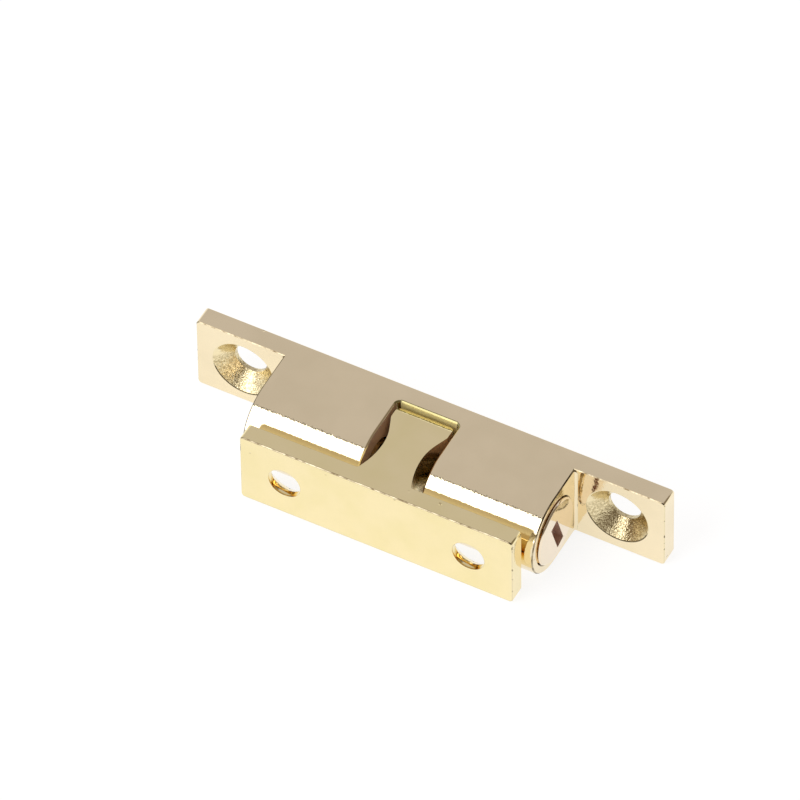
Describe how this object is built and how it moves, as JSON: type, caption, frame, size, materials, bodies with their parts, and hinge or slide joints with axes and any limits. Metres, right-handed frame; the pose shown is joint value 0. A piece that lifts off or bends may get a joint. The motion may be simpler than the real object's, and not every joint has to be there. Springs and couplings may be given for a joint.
{
  "type": "double ball catch",
  "caption": "Adjustable cabinet door catch: sprung balls in a round-nosed housing grip the waisted tongue of a strike plate.",
  "frame": {"origin": "centre of the mounting face at the back of the catch body's base plate", "axes": "+X along the catch, +Y out of the mounting face into the cabinet, -Y towards the strike and the door, +Z across the catch's width; it lies on its long narrow side, as in the picture"},
  "size_m": [0.05, 0.0128, 0.0088],
  "materials": {
    "body_brass": "polished",
    "strike_brass": "polished",
    "adjuster_brass": "polished",
    "ball_steel": "polished",
    "spring_steel": "drawn wire"
  },
  "bodies": {
    "catch_body": {"catch_body": "body_brass"},
    "strike_plate": {"strike_plate": "strike_brass"},
    "ball_left": {"ball_left": "ball_steel"},
    "ball_right": {"ball_right": "ball_steel"},
    "spring_left": {"spring_left": "spring_steel"},
    "spring_right": {"spring_right": "spring_steel"},
    "adjuster_left": {"adjuster_left": "adjuster_brass"},
    "adjuster_right": {"adjuster_right": "adjuster_brass"}
  },
  "joints": [
    {"name": "strike_pull", "type": "slide", "parent": "catch_body", "child": "strike_plate", "axis": [0, -1, 0], "range_m": [0, 0.0081]},
    {"name": "ball_left_retract", "type": "slide", "parent": "catch_body", "child": "ball_left", "axis": [-1, 0, 0], "range_m": [0, 0.00268], "stiffness_N_per_m": 1500, "springref_m": -0.001, "deforming": ["spring_left"]},
    {"name": "ball_right_retract", "type": "slide", "parent": "catch_body", "child": "ball_right", "axis": [1, 0, 0], "range_m": [0, 0.00268], "stiffness_N_per_m": 1500, "springref_m": -0.001, "deforming": ["spring_right"]},
    {"name": "adjuster_left_feed", "type": "slide", "parent": "catch_body", "child": "spring_left", "axis": [-1, 0, 0], "range_m": [-0.00112, 0.00112]},
    {"name": "adjuster_left_turn", "type": "hinge", "parent": "spring_left", "child": "adjuster_left", "pos_m": [-0.0143, -0.0063, 0], "axis": [-1, 0, 0], "range_deg": [-540, 540]},
    {"name": "adjuster_right_feed", "type": "slide", "parent": "catch_body", "child": "spring_right", "axis": [1, 0, 0], "range_m": [-0.00112, 0.00112]},
    {"name": "adjuster_right_turn", "type": "hinge", "parent": "spring_right", "child": "adjuster_right", "pos_m": [0.0143, -0.0063, 0], "axis": [1, 0, 0], "range_deg": [-540, 540]}
  ],
  "couplings": [
    {"joint": "ball_left_retract", "follows": "strike_pull", "ratio": 0.33},
    {"joint": "ball_right_retract", "follows": "strike_pull", "ratio": 0.33},
    {"joint": "adjuster_left_turn", "follows": "adjuster_left_feed", "rad_per_m": 8377.6},
    {"joint": "adjuster_right_turn", "follows": "adjuster_right_feed", "rad_per_m": 8377.6}
  ]
}
